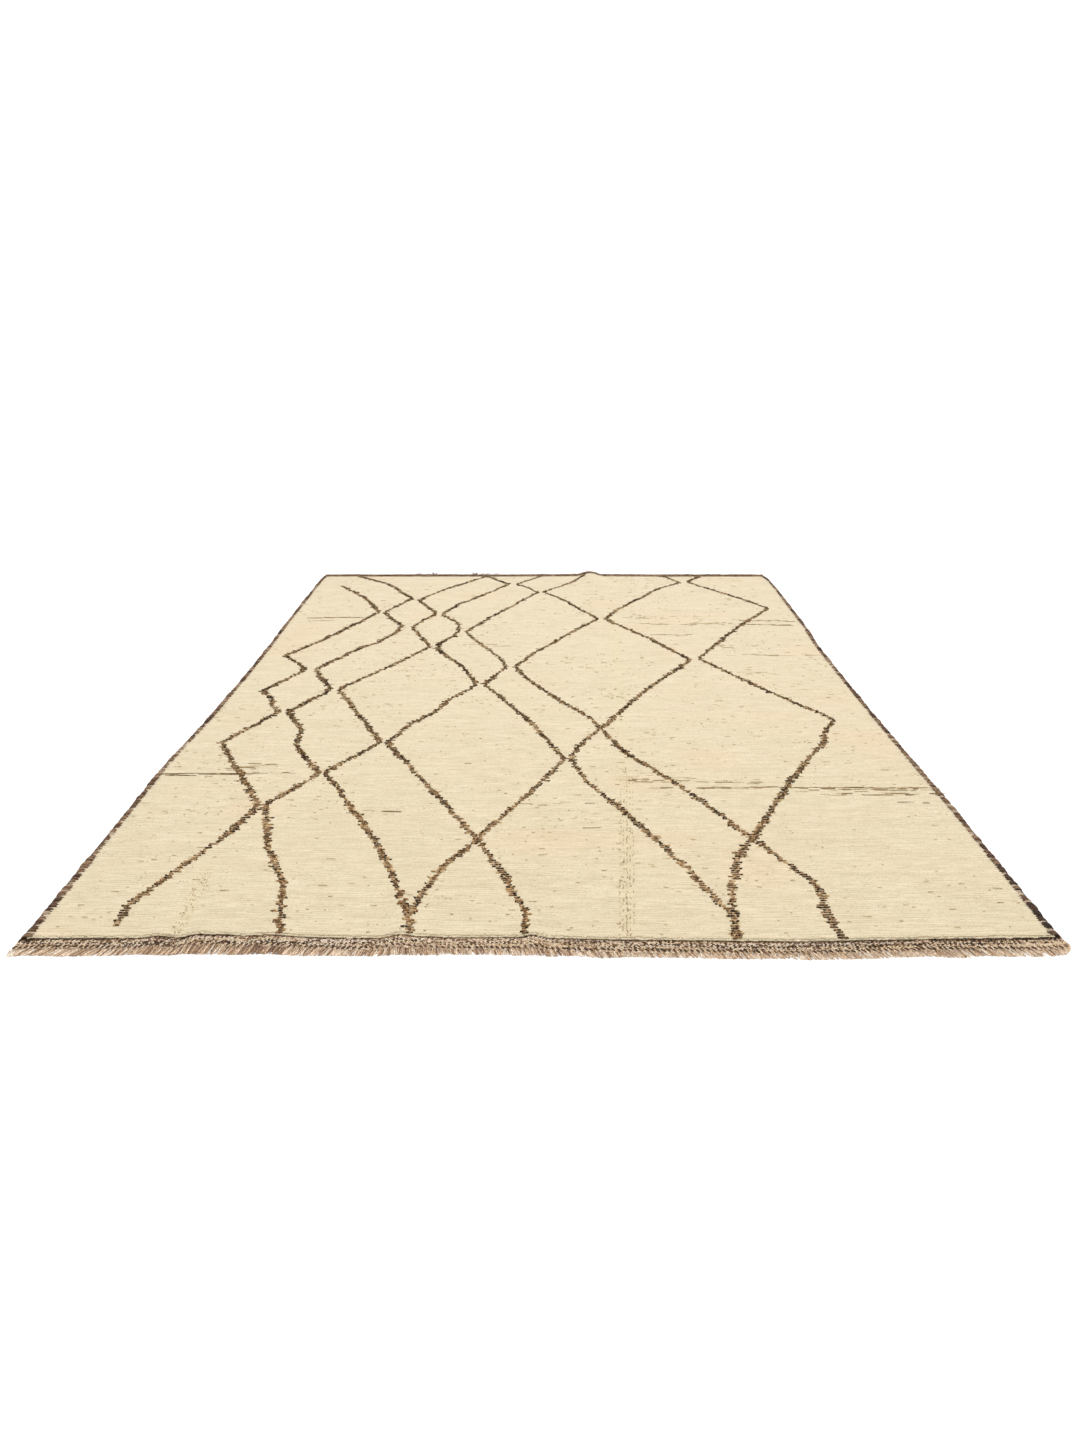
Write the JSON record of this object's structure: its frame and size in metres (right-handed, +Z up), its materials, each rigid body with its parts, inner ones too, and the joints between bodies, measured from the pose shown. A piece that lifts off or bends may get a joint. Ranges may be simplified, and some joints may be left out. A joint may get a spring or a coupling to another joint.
{
  "type": "hand-knotted wool rug",
  "caption": "Flat rectangular hand-knotted wool pile rug with flat-woven ends, overcast side cords and a short knotted fringe at each end.",
  "frame": {"origin": "under the middle of the rug's box, on the surface it lies on", "axes": "+X across the rug, +Y along its warp towards the far end, +Z up"},
  "size_m": [2.01, 2.9904, 0.024],
  "materials": {
    "wool_pile": "short cream wool pile with dark brown knotted lines",
    "overcast_wool": "dark brown wool yarn wrapped over a cord",
    "flat_weave": "weft-faced flat weave with twined brown and cream lines",
    "warp_fringe": "knotted beige wool warp ends"
  },
  "bodies": {
    "root": {"rug_cloth": "wool_pile", "side_cord_left": "overcast_wool", "side_cord_right": "overcast_wool", "fringe_near": "warp_fringe", "fringe_far": "warp_fringe"}
  },
  "joints": []
}
